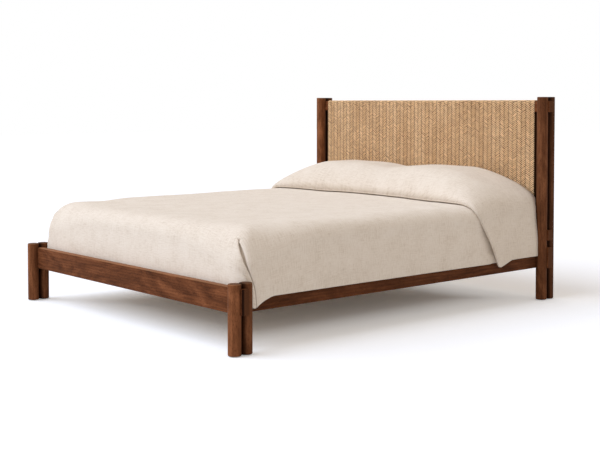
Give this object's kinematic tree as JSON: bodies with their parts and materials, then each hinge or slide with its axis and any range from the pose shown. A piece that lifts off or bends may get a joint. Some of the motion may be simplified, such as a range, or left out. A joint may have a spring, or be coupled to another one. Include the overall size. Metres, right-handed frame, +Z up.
{
  "type": "king-size bed",
  "caption": "Low wooden bed with paired round posts, through rails, a wrapped headboard of woven cord, and a fitted linen coverlet over its mattress and pillows.",
  "frame": {"origin": "on the floor, under the middle of the bed's plan", "axes": "+Y towards the headboard, +X towards the sleeper's left when lying with the head at +Y, +Z up"},
  "size_m": [1.969, 2.3304, 1.16],
  "materials": {
    "stained_wood": "dark walnut stain, satin",
    "pine": "planed, unfinished",
    "cord": "woven natural cord, matt",
    "linen": "washed linen, matt",
    "ticking": "cotton, matt",
    "black_steel": "black powder coat",
    "zinc_steel": "zinc plated",
    "nylon": "moulded nylon, matt"
  },
  "bodies": {
    "frame": {"foot_left_outer_post": "stained_wood", "foot_left_inner_post": "stained_wood", "foot_right_outer_post": "stained_wood", "foot_right_inner_post": "stained_wood", "head_left_front_post": "stained_wood", "head_left_rear_post": "stained_wood", "head_right_front_post": "stained_wood", "head_right_rear_post": "stained_wood", "foot_rail": "stained_wood", "head_rail": "stained_wood", "headboard_lower_rail": "stained_wood", "headboard_top_rail": "stained_wood", "side_rail_left": "stained_wood", "side_rail_right": "stained_wood", "ledger_left": "pine", "ledger_right": "pine", "rope_panel": "cord", "centre_beam": "pine", "beam_hanger_foot": "black_steel", "beam_hanger_head": "black_steel", "centre_leg_foot": "pine", "centre_leg_head": "pine", "levelling_feet": "nylon", "leg_studs": "zinc_steel", "bracket_foot_left": "black_steel", "bracket_foot_right": "black_steel", "bracket_head_left": "black_steel", "bracket_head_right": "black_steel", "slat_1": "pine", "slat_2": "pine", "slat_3": "pine", "slat_4": "pine", "slat_5": "pine", "slat_6": "pine", "slat_7": "pine", "slat_8": "pine", "slat_9": "pine", "slat_10": "pine", "slat_11": "pine", "slat_12": "pine", "slat_13": "pine", "slat_14": "pine", "post_bolts": "zinc_steel", "bolt_inserts": "zinc_steel", "bracket_screws": "zinc_steel", "hanger_screws": "zinc_steel", "ledger_screws": "zinc_steel", "slat_screws": "zinc_steel", "post_glides": "nylon"},
    "bedding": {"mattress": "ticking", "pillow_left": "ticking", "pillow_right": "ticking", "coverlet": "linen"}
  },
  "joints": [
    {"name": "bedding_lift", "type": "slide", "parent": "frame", "child": "bedding", "axis": [0, 0, 1], "range_m": [0, 0.3]}
  ]
}
